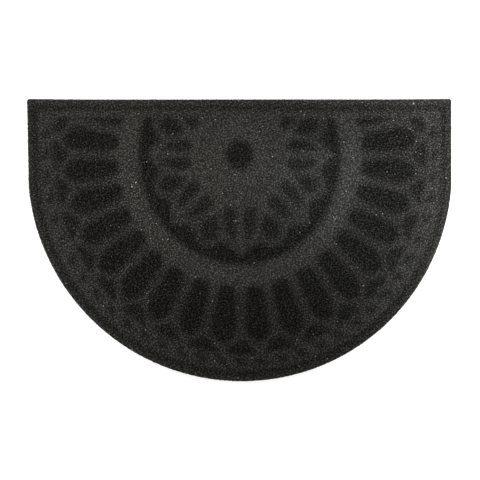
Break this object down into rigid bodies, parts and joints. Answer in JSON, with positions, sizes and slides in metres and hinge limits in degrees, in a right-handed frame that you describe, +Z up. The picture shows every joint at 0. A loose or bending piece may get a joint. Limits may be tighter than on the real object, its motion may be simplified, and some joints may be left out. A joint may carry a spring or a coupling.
{
  "type": "half-round doormat",
  "caption": "Half-round black doormat pressed from rubber crumb, its top sunk with a rose-window pattern inside a border groove.",
  "frame": {"origin": "middle of the mat's box on its underside", "axes": "+X along the straight edge, +Y from the foot of the arc to the straight edge, +Z up out of the patterned top"},
  "size_m": [0.9145, 0.608, 0.009],
  "materials": {
    "rubber_crumb": "matt, coarse and granular, black with a few pale grains"
  },
  "bodies": {
    "root": {"mat": "rubber_crumb"}
  },
  "joints": []
}
